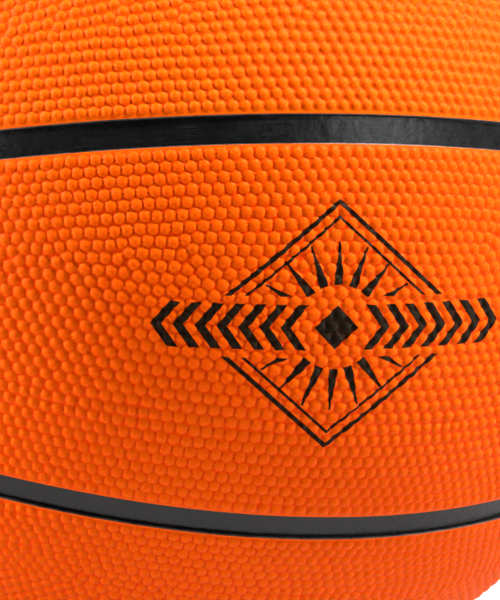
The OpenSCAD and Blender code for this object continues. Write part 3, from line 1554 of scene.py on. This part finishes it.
@dataclass(frozen=True)
class BlackRubber(Finish):
    """Black rubber of the channels, their walls and the valve, dulled by dust."""

    name: str = "black_rubber"
    base: Colour = (0.002, 0.002, 0.0021)
    cloud: Colour = (0.004, 0.004, 0.0042)
    dusty: Colour = (0.2, 0.19, 0.18)
    film_share: float = 0.12
    lint_share: float = 0.55
    least_roughness: float = 0.23
    pore_roughness: float = 0.12
    film_roughness: float = 0.15
    refraction: float = 1.5
    dust: float = 0.12
    cloud_size: float = 14.0
    pore_size: float = 0.22
    pore_depth: float = 0.04
    lint_relief: float = 0.8
    strength: float = 0.8

    def surface(self, bench: Bench) -> Sockets:
        """Clouds of two greys, a film of dust, lint, and pores as relief.

        Args:
            bench: the material's tree.

        Returns:
            What goes into the shader, by the name of its socket.
        """
        place = bench.place()
        skin = self.rubber(bench, place, self.cloud_size, self.pore_size)
        dust = bench.effect(Dust().group(), Place=place, Amount=self.dust)
        colour = bench.blend(self.base, self.cloud, skin["Clouds"])
        marks = dust["Film"] * self.film_share + dust["Lint"] * self.lint_share
        colour = bench.blend(colour, self.dusty, marks)
        rough = skin["Pores"] * self.pore_roughness + dust["Film"] * self.film_roughness
        relief = skin["Pores"] + dust["Lint"] * self.lint_relief
        return {"Base Color": colour, "Roughness": rough + self.least_roughness, "IOR": self.refraction,
                "Normal": bench.bump(relief, self.pore_depth, self.strength)}


@dataclass(frozen=True)
class WallRubber(BlackRubber):
    """Black rubber of the panels' walls, with a grey line along the edge where it meets the orange lip: a
    painted highlight on the rounded edge, and partly wear.
    """

    name: str = "wall_rubber"
    base: Colour = (0.002, 0.002, 0.002)
    cloud: Colour = (0.004, 0.004, 0.004)
    edge_sheen_and_wear: Colour = (0.07, 0.06, 0.052)
    dust: float = 0.2
    # Radii where the grey edge, painted highlight and wear, begins and where it is full, and the size of its
    # patches
    edge_grey_from: float = 110.45
    edge_grey_to: float = 110.7
    edge_grey_patch: float = 2.5
    patch_levels: tuple[float, float] = (0.3, 0.6)
    least_edge_grey: float = 0.25

    def surface(self, bench: Bench) -> Sockets:
        """The grey edge, a painted highlight and partly wear, shows by the distance from the ball's middle,
        broken up by noise.

        Args:
            bench: the material's tree.

        Returns:
            What goes into the shader, by the name of its socket.
        """
        values = super().surface(bench)
        place = bench.place()
        x, y, z = bench.parts(place)
        radius = (x * x + y * y + z * z).math("SQRT")
        patches = bench.noise(place, self.edge_grey_patch).rise(*self.patch_levels, self.least_edge_grey)
        # Painted highlight and wear: a grey line near the top of the black wall
        edge_sheen_and_wear = radius.rise(self.edge_grey_from, self.edge_grey_to) * patches
        values["Base Color"] = bench.blend(values["Base Color"], self.edge_sheen_and_wear, edge_sheen_and_wear)
        return values


@dataclass(frozen=True)
class ChannelRubber(BlackRubber):
    """Satin black rubber of the channels' floors, with fine rub marks that run along them."""

    name: str = "channel_rubber"
    least_roughness: float = 0.16
    dust: float = 0.07
    # Rub marks: their length and width, and the size of the patches where they lie
    mark_length: float = 9.0
    mark_width: float = 0.16
    mark_patch: float = 11.0
    mark_levels: tuple[float, float] = (0.5, 0.78)
    patch_levels: tuple[float, float] = (0.4, 0.65)
    mark_share: float = 0.1
    mark_roughness: float = 0.12
    mark_relief: float = 0.06
    ripple_size: float = 3.5
    ripple_roughness: float = 0.14
    ripple_depth: float = 0.22
    wide_pore: float = 0.5
    pore_relief: float = 0.12
    strength: float = 0.9

    def surface(self, bench: Bench) -> Sockets:
        """Rub marks are noise drawn out along the strip; ripples are wide noise that bends the sheen.

        Args:
            bench: the material's tree.

        Returns:
            What goes into the shader, by the name of its socket.
        """
        values = super().surface(bench)
        place = bench.place()
        along, across = bench.kept_value("along"), bench.kept_value("across")
        drawn = bench.vector(along / self.mark_length, across / self.mark_width, 0.0)
        marks = bench.noise(drawn, 1.0, roughness=0.65).rise(*self.mark_levels)
        marks = marks * bench.noise(place, self.mark_patch).rise(*self.patch_levels)
        ripples = bench.noise(place, self.ripple_size, roughness=0.55)
        pores = self.rubber(bench, place, self.cloud_size, self.wide_pore)["Pores"]
        rough = values["Roughness"] + marks * self.mark_roughness + ripples * self.ripple_roughness
        relief = ripples + pores * self.pore_relief - marks * self.mark_relief
        values["Base Color"] = bench.blend(values["Base Color"], self.dusty, marks * self.mark_share)
        values["Roughness"] = rough
        values["Normal"] = bench.bump(relief, self.ripple_depth, self.strength)
        return values


@dataclass(frozen=True)
class CarcassRubber(Finish):
    """Cured black rubber under the cover, with the faint print of the winding below."""

    name: str = "carcass_rubber"
    base: Colour = (0.022, 0.021, 0.021)
    cloud: Colour = (0.045, 0.042, 0.04)
    cloud_share: float = 0.6
    pore_share: float = 0.4
    least_roughness: float = 0.6
    pore_roughness: float = 0.15
    cloud_size: float = 18.0
    pore_size: float = 0.5
    ridge_step: float = 3.1
    ridge_depth: float = 0.12
    ridge_relief: float = 0.25
    pore_relief: float = 0.5
    strength: float = 0.7

    def surface(self, bench: Bench) -> Sockets:
        """Two crossed sets of low waves over clouds of two greys.

        Args:
            bench: the material's tree.

        Returns:
            What goes into the shader, by the name of its socket.
        """
        place = bench.place()
        skin = self.rubber(bench, place, self.cloud_size, self.pore_size)
        x, y, z = bench.parts(place)
        per_length = math.tau / self.ridge_step
        waves = ((x + y) * per_length).math("SINE") + ((y - z) * per_length).math("SINE")
        relief = waves * self.ridge_relief + skin["Pores"] * self.pore_relief
        share = skin["Clouds"] * self.cloud_share + skin["Pores"] * self.pore_share
        rough = skin["Pores"] * self.pore_roughness + self.least_roughness
        return {"Base Color": bench.blend(self.base, self.cloud, share), "Roughness": rough,
                "Normal": bench.bump(relief, self.ridge_depth, self.strength)}


@dataclass(frozen=True)
class NylonWinding(Finish):
    """Nylon thread wound round the bladder in crossed layers, set in latex."""

    name: str = "winding_nylon"
    thread: Colour = (0.72, 0.69, 0.6)
    latex: Colour = (0.42, 0.37, 0.28)
    height_share: float = 0.8
    cloud_share: float = 0.2
    least_roughness: float = 0.4
    gap_roughness: float = 0.2
    cloud_size: float = 12.0
    pore_size: float = 0.25
    # Distance between threads, and where a thread's side lies, as a share of it
    step: float = 1.1
    side_share: float = 0.3
    thread_depth: float = 0.25
    strength: float = 0.9
    # Normals of the layers' planes, and how far and how widely the threads stray from them
    turns: tuple[tuple[float, float, float], ...] = ((0.3, 0.95, 0.1), (-0.8, 0.35, 0.5), (0.55, -0.2, 0.82))
    stray: float = 6.0
    stray_size: float = 40.0
    # Each layer shows in patches of its own size, and is at least this high between them
    patch: float = 7.0
    patch_spread: float = 3.0
    patch_levels: tuple[float, float] = (0.2, 0.8)
    least_height: float = 0.4

    def surface(self, bench: Bench) -> Sockets:
        """Threads are level lines of three directions; the highest one of the three lies on top.

        Args:
            bench: the material's tree.

        Returns:
            What goes into the shader, by the name of its socket.
        """
        place = bench.place()
        skin = self.rubber(bench, place, self.cloud_size, self.pore_size)
        x, y, z = bench.parts(place)
        half_w = self.step * self.side_share
        strands = []
        for a, b, c in self.turns:
            along = (x * a) + (y * b) + (z * c) + bench.noise(place, self.stray_size) * self.stray
            patches = bench.noise(place, self.patch + self.patch_spread * c, detail=1.0)
            shown = patches.rise(*self.patch_levels, self.least_height)
            strands.append(along.wrapped(self.step).within(half_w, half_w) * shown)
        height = strands[0].most(strands[1]).most(strands[2])
        share = height * self.height_share + skin["Clouds"] * self.cloud_share
        rough = height.rest() * self.gap_roughness + self.least_roughness
        return {"Base Color": bench.blend(self.latex, self.thread, share), "Roughness": rough,
                "Normal": bench.bump(height, self.thread_depth, self.strength)}


@dataclass(frozen=True)
class ButylBladder(Finish):
    """Dark butyl of the air bladder: smooth, with talc left on it."""

    name: str = "bladder_butyl"
    base: Colour = (0.03, 0.028, 0.03)
    talc: Colour = (0.35, 0.34, 0.33)
    film_share: float = 0.5
    pore_share: float = 0.05
    least_roughness: float = 0.35
    cloud_roughness: float = 0.15
    film_roughness: float = 0.3
    cloud_size: float = 30.0
    pore_size: float = 0.6
    pore_depth: float = 0.05
    strength: float = 0.6
    dust: float = 1.0

    def surface(self, bench: Bench) -> Sockets:
        """Talc lies where the film of dust is.

        Args:
            bench: the material's tree.

        Returns:
            What goes into the shader, by the name of its socket.
        """
        place = bench.place()
        skin = self.rubber(bench, place, self.cloud_size, self.pore_size)
        dust = bench.effect(Dust().group(), Place=place, Amount=self.dust)
        share = dust["Film"] * self.film_share + skin["Pores"] * self.pore_share
        rough = skin["Clouds"] * self.cloud_roughness + dust["Film"] * self.film_roughness
        return {"Base Color": bench.blend(self.base, self.talc, share),
                "Roughness": rough + self.least_roughness,
                "Normal": bench.bump(skin["Pores"], self.pore_depth, self.strength)}


def dress(piece: bpy.types.Object, finishes: Sequence[Finish], nodes: Sequence[str]) -> None:
    """Gives a new piece its materials, hangs it under the root body and hides the nodes that it stands for.

    Args:
        piece: the piece.
        finishes: one finish for each of the mesh's material slots.
        nodes: the nodes that it replaces.
    """
    for finish in finishes:
        piece.data.materials.append(finish.material())
    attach(piece, "root")
    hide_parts(*nodes)


@dataclass
class Cover:
    """The eight panels of the cover."""

    seams: Seams
    grain: Grain
    emblem: Emblem
    margin_w: float = 0.46
    first_seed: int = 11
    # The front high panels take a lighter copy of the rubber, painted light from above that is partly a tone
    # of their own, and have smaller domes that stand apart, inside a wider margin
    sparse: Grain = Grain(dome_share=0.44)
    wide_margin: float = 0.75
    # Lighter, yellower copy of the cover rubber: painted light from above on the front high panels, partly a
    # tone of their own
    bright: Finish = CoverRubber("bright_rubber", top=(0.98, 0.118, 0.0006), pale=(0.98, 0.135, 0.0007),
                                 valley=(0.98, 0.086, 0.0004))
    wall: Finish = WallRubber()

    def build(self) -> None:
        """Builds and dresses the panels. The valve is in the front high cap."""
        for number, (cut, side) in enumerate((cut, side) for cut in Cut for side in Side):
            is_sparse = side is Side.FRONT_HIGH
            grain, margin_w = (self.sparse, self.wide_margin) if is_sparse else (self.grain, self.margin_w)
            has_valve = is_sparse and cut is Cut.CAP
            panel = Panel(cut, side, self.seams, grain, self.first_seed + number, margin_w, has_valve)
            dress(panel.build(), (self.skin(cut, side), self.wall), (panel.name,))

    def skin(self, cut: Cut, side: Side) -> Finish:
        """The finish of a panel's outside: the front high panels take the lighter copy, painted light from
        above, and the device is on the front low strip.

        Args:
            cut: the panel's outline.
            side: where it is on the ball.

        Returns:
            The finish.
        """
        # The front high panels get painted light: the lighter copy of the rubber
        if side is Side.FRONT_HIGH:
            return self.bright
        if cut is Cut.STRIP and side is Side.FRONT_LOW:
            return CoverRubber("printed_rubber", emblem=self.emblem, seams=self.seams)
        return CoverRubber()


@dataclass
class ChannelWork:
    """The seven black strips on the channels' floors."""

    seams: Seams

    def build(self) -> None:
        """Builds and dresses the ring, the two arcs and the four oval halves."""
        runs = [(Course.RING, Side.FRONT_HIGH), (Course.ARC, Side.FRONT_HIGH), (Course.ARC, Side.FRONT_LOW)]
        for course, side in runs + [(Course.OVAL, side) for side in Side]:
            channel = Channel(course, side, self.seams)
            dress(channel.build(), (ChannelRubber(),), (channel.name,))


@dataclass
class Inside:
    """The valve's plug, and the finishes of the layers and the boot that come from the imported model."""

    valve: Finish = BlackRubber("valve_rubber", base=(0.02, 0.02, 0.021), cloud=(0.03, 0.03, 0.03),
                                dusty=(0.16, 0.155, 0.15), least_roughness=0.34, dust=0.5)

    def build(self, nodes: dict[str, bpy.types.Object]) -> None:
        """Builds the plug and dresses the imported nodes.

        Args:
            nodes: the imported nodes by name.
        """
        dress(ValvePlug().build(), (self.valve,), ("valve_plug",))
        finishes = {"carcass_front": CarcassRubber(), "carcass_back": CarcassRubber(),
                    "winding": NylonWinding(), "bladder": ButylBladder(), "valve_boot": self.valve}
        for name, finish in finishes.items():
            materials = nodes[name].data.materials
            materials.clear()
            materials.append(finish.material())
            LOG.info("%s: finish %s", name, finish.name)


@dataclass
class PhotoCamera:
    """The camera's place about the ball, from the fit of the seams to the photograph."""

    seams: Seams
    latitude: float = -8.86
    longitude: float = -23.0
    roll: float = 2.5
    # Distance from the ball's middle, in ball radii
    distance: float = 6.0
    focal_px: float = 2846.0
    # Where the ball's middle falls in the frame, and the frame
    ball_x_px: float = 187.0
    ball_y_px: float = 218.0
    frame_w_px: float = 500.0
    frame_h_px: float = 600.0
    sensor: float = 36.0
    # Nearest and farthest thing that it sees, in metres
    near: float = 0.01
    far: float = 50.0

    def axes(self) -> tuple[Array, Array, Array]:
        """The directions of a camera that looks at the ball's middle.

        Returns:
            Right, up and back, in the ball's frame.
        """
        back = self.seams.to_ball(self.seams.place(self.latitude, self.longitude))
        axis = self.seams.to_ball(np.array([0.0, 0.0, 1.0]))
        up = unit(axis - (axis @ back) * back)
        right = np.cross(up, back)
        cosine, sine = math.cos(math.radians(self.roll)), math.sin(math.radians(self.roll))
        return cosine * right - sine * up, cosine * up + sine * right, back

    def build(self) -> None:
        """Makes the camera, aimed so that the ball's middle falls at its pixel."""
        right, up, back = self.axes()
        ahead = unit(-back * self.focal_px + right * (self.frame_w_px / 2.0 - self.ball_x_px)
                     - up * (self.frame_h_px / 2.0 - self.ball_y_px))
        across = unit(np.cross(ahead, up))
        turn = Matrix(np.stack([across, np.cross(across, ahead), -ahead], axis=1).tolist())
        data = bpy.data.cameras.new("photo_camera")
        data.sensor_width = self.sensor
        data.lens = self.focal_px * self.sensor / max(self.frame_w_px, self.frame_h_px)
        data.clip_start, data.clip_end = self.near, self.far
        camera = bpy.data.objects.new("photo_camera", data)
        camera.matrix_world = Matrix.Translation(back * self.distance * BALL_R * MM) @ turn.to_4x4()
        bpy.context.collection.objects.link(camera)
        bpy.context.scene.camera = camera


@dataclass(frozen=True)
class Lamp:
    """A soft square lamp that shines at the ball's middle. Lengths here are metres."""

    name: str
    right: float
    up: float
    back: float
    size: float
    power: float

    def build(self, axes: tuple[Array, Array, Array]) -> None:
        """Makes the lamp.

        Args:
            axes: right, up and back of the camera, along which its place is given.
        """
        place = axes[0] * self.right + axes[1] * self.up + axes[2] * self.back
        turn = Vector(-place).to_track_quat("-Z", "Y").to_matrix().to_4x4()
        data = bpy.data.lights.new(self.name, "AREA")
        data.shape, data.size, data.energy = "SQUARE", self.size, self.power
        lamp = bpy.data.objects.new(self.name, data)
        lamp.matrix_world = Matrix.Translation(place) @ turn
        lamp.visible_camera = False
        bpy.context.collection.objects.link(lamp)


@dataclass
class Studio:
    """Pale floor, white surroundings and soft lamps. Lengths here are metres."""

    floor_half: float = 6.0
    floor_roughness: float = 0.9
    # How pale the floor is as the camera sees it, and for the light that it throws back
    floor_shade: float = 0.8
    floor_return: float = 0.38
    # Distances from the ball between which the floor fades into the white surroundings
    fade_from: float = 0.45
    fade_to: float = 2.2
    # Strength of the surroundings round about and behind, and toward the camera's side
    bright: float = 0.7
    dim: float = 0.02
    # Cosines of the angle from the camera's side between which they grow dim
    dim_from: float = -0.4
    dim_to: float = 0.3
    lamps: tuple[Lamp, ...] = (
        Lamp("key", right=0.85, up=1.15, back=0.42, size=0.2, power=41.0),
        Lamp("left", right=-1.3, up=0.8, back=0.15, size=0.2, power=26.0),
        Lamp("sheen", right=1.01, up=0.5, back=0.99, size=0.4, power=2.0),
        Lamp("low_right", right=0.9, up=-0.14, back=0.3, size=0.15, power=3.6),
        Lamp("low_left", right=-0.85, up=-0.06, back=0.38, size=0.15, power=5.5),
    )

    def build(self, axes: tuple[Array, Array, Array]) -> None:
        """Lays the floor under the ball, lights the world and hangs the lamps.

        Args:
            axes: right, up and back of the camera.
        """
        half, level = self.floor_half, -BALL_R * MM
        mesh = bpy.data.meshes.new("floor")
        corners = [(-half, -half, level), (half, -half, level), (half, half, level), (-half, half, level)]
        mesh.from_pydata(corners, [], [(0, 1, 2, 3)])
        floor = bpy.data.objects.new("floor", mesh)
        bpy.context.collection.objects.link(floor)
        floor.data.materials.append(self.floor_material())
        self.light_world(axes[2])
        for lamp in self.lamps:
            lamp.build(axes)

    def floor_material(self) -> bpy.types.Material:
        """Matt pale grey that fades into white far from the ball.

        Returns:
            The material.
        """
        material = bpy.data.materials.new("floor")
        material.use_nodes = True
        shader = material.node_tree.nodes["Principled BSDF"]
        bench = Bench(material.node_tree)
        x, y, _ = bench.parts(bench.source("ShaderNodeTexCoord", "Object"))
        seen = bench.source("ShaderNodeLightPath", "Is Camera Ray")
        grey = bench.blend((self.floor_return,) * 3, (self.floor_shade,) * 3, seen)
        fade = (x * x + y * y).math("SQRT").rise(self.fade_from, self.fade_to)
        bench.feed(shader.inputs["Base Color"], grey)
        bench.feed(shader.inputs["Emission Strength"], seen * fade)
        bench.feed(shader.inputs["Emission Color"], WHITE)
        bench.feed(shader.inputs["Roughness"], self.floor_roughness)
        return material

    def light_world(self, back: Array) -> None:
        """White where the camera sees it; otherwise soft light that is dimmer on the camera's side.

        Args:
            back: the direction of the camera's side.
        """
        world = bpy.data.worlds.new("studio")
        bpy.context.scene.world = world
        world.use_nodes = True
        world.node_tree.nodes.clear()
        bench = Bench(world.node_tree)
        x, y, z = bench.parts(bench.source("ShaderNodeTexCoord", "Generated"))
        ahead = (x * float(back[0])) + (y * float(back[1])) + (z * float(back[2]))
        strength = ahead.rise(self.dim_from, self.dim_to, self.bright, self.dim)
        strength = strength.most(bench.source("ShaderNodeLightPath", "Is Camera Ray"))
        glow = bench.add("ShaderNodeBackground")
        bench.feed(glow.inputs["Color"], WHITE)
        bench.feed(glow.inputs["Strength"], strength)
        world.node_tree.links.new(glow.outputs[0], bench.add("ShaderNodeOutputWorld").inputs[0])


def main() -> None:
    """Builds every piece of the basketball, the camera and the studio."""
    logging.basicConfig(level=logging.INFO, format="%(name)s %(message)s")
    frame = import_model()
    seams = Seams()
    Cover(seams, Grain(), Emblem()).build()
    ChannelWork(seams).build()
    Inside().build(frame["nodes"])
    camera = PhotoCamera(seams)
    camera.build()
    Studio().build(camera.axes())
    bpy.context.scene.view_settings.view_transform = "Standard"


if __name__ == "__main__":
    main()
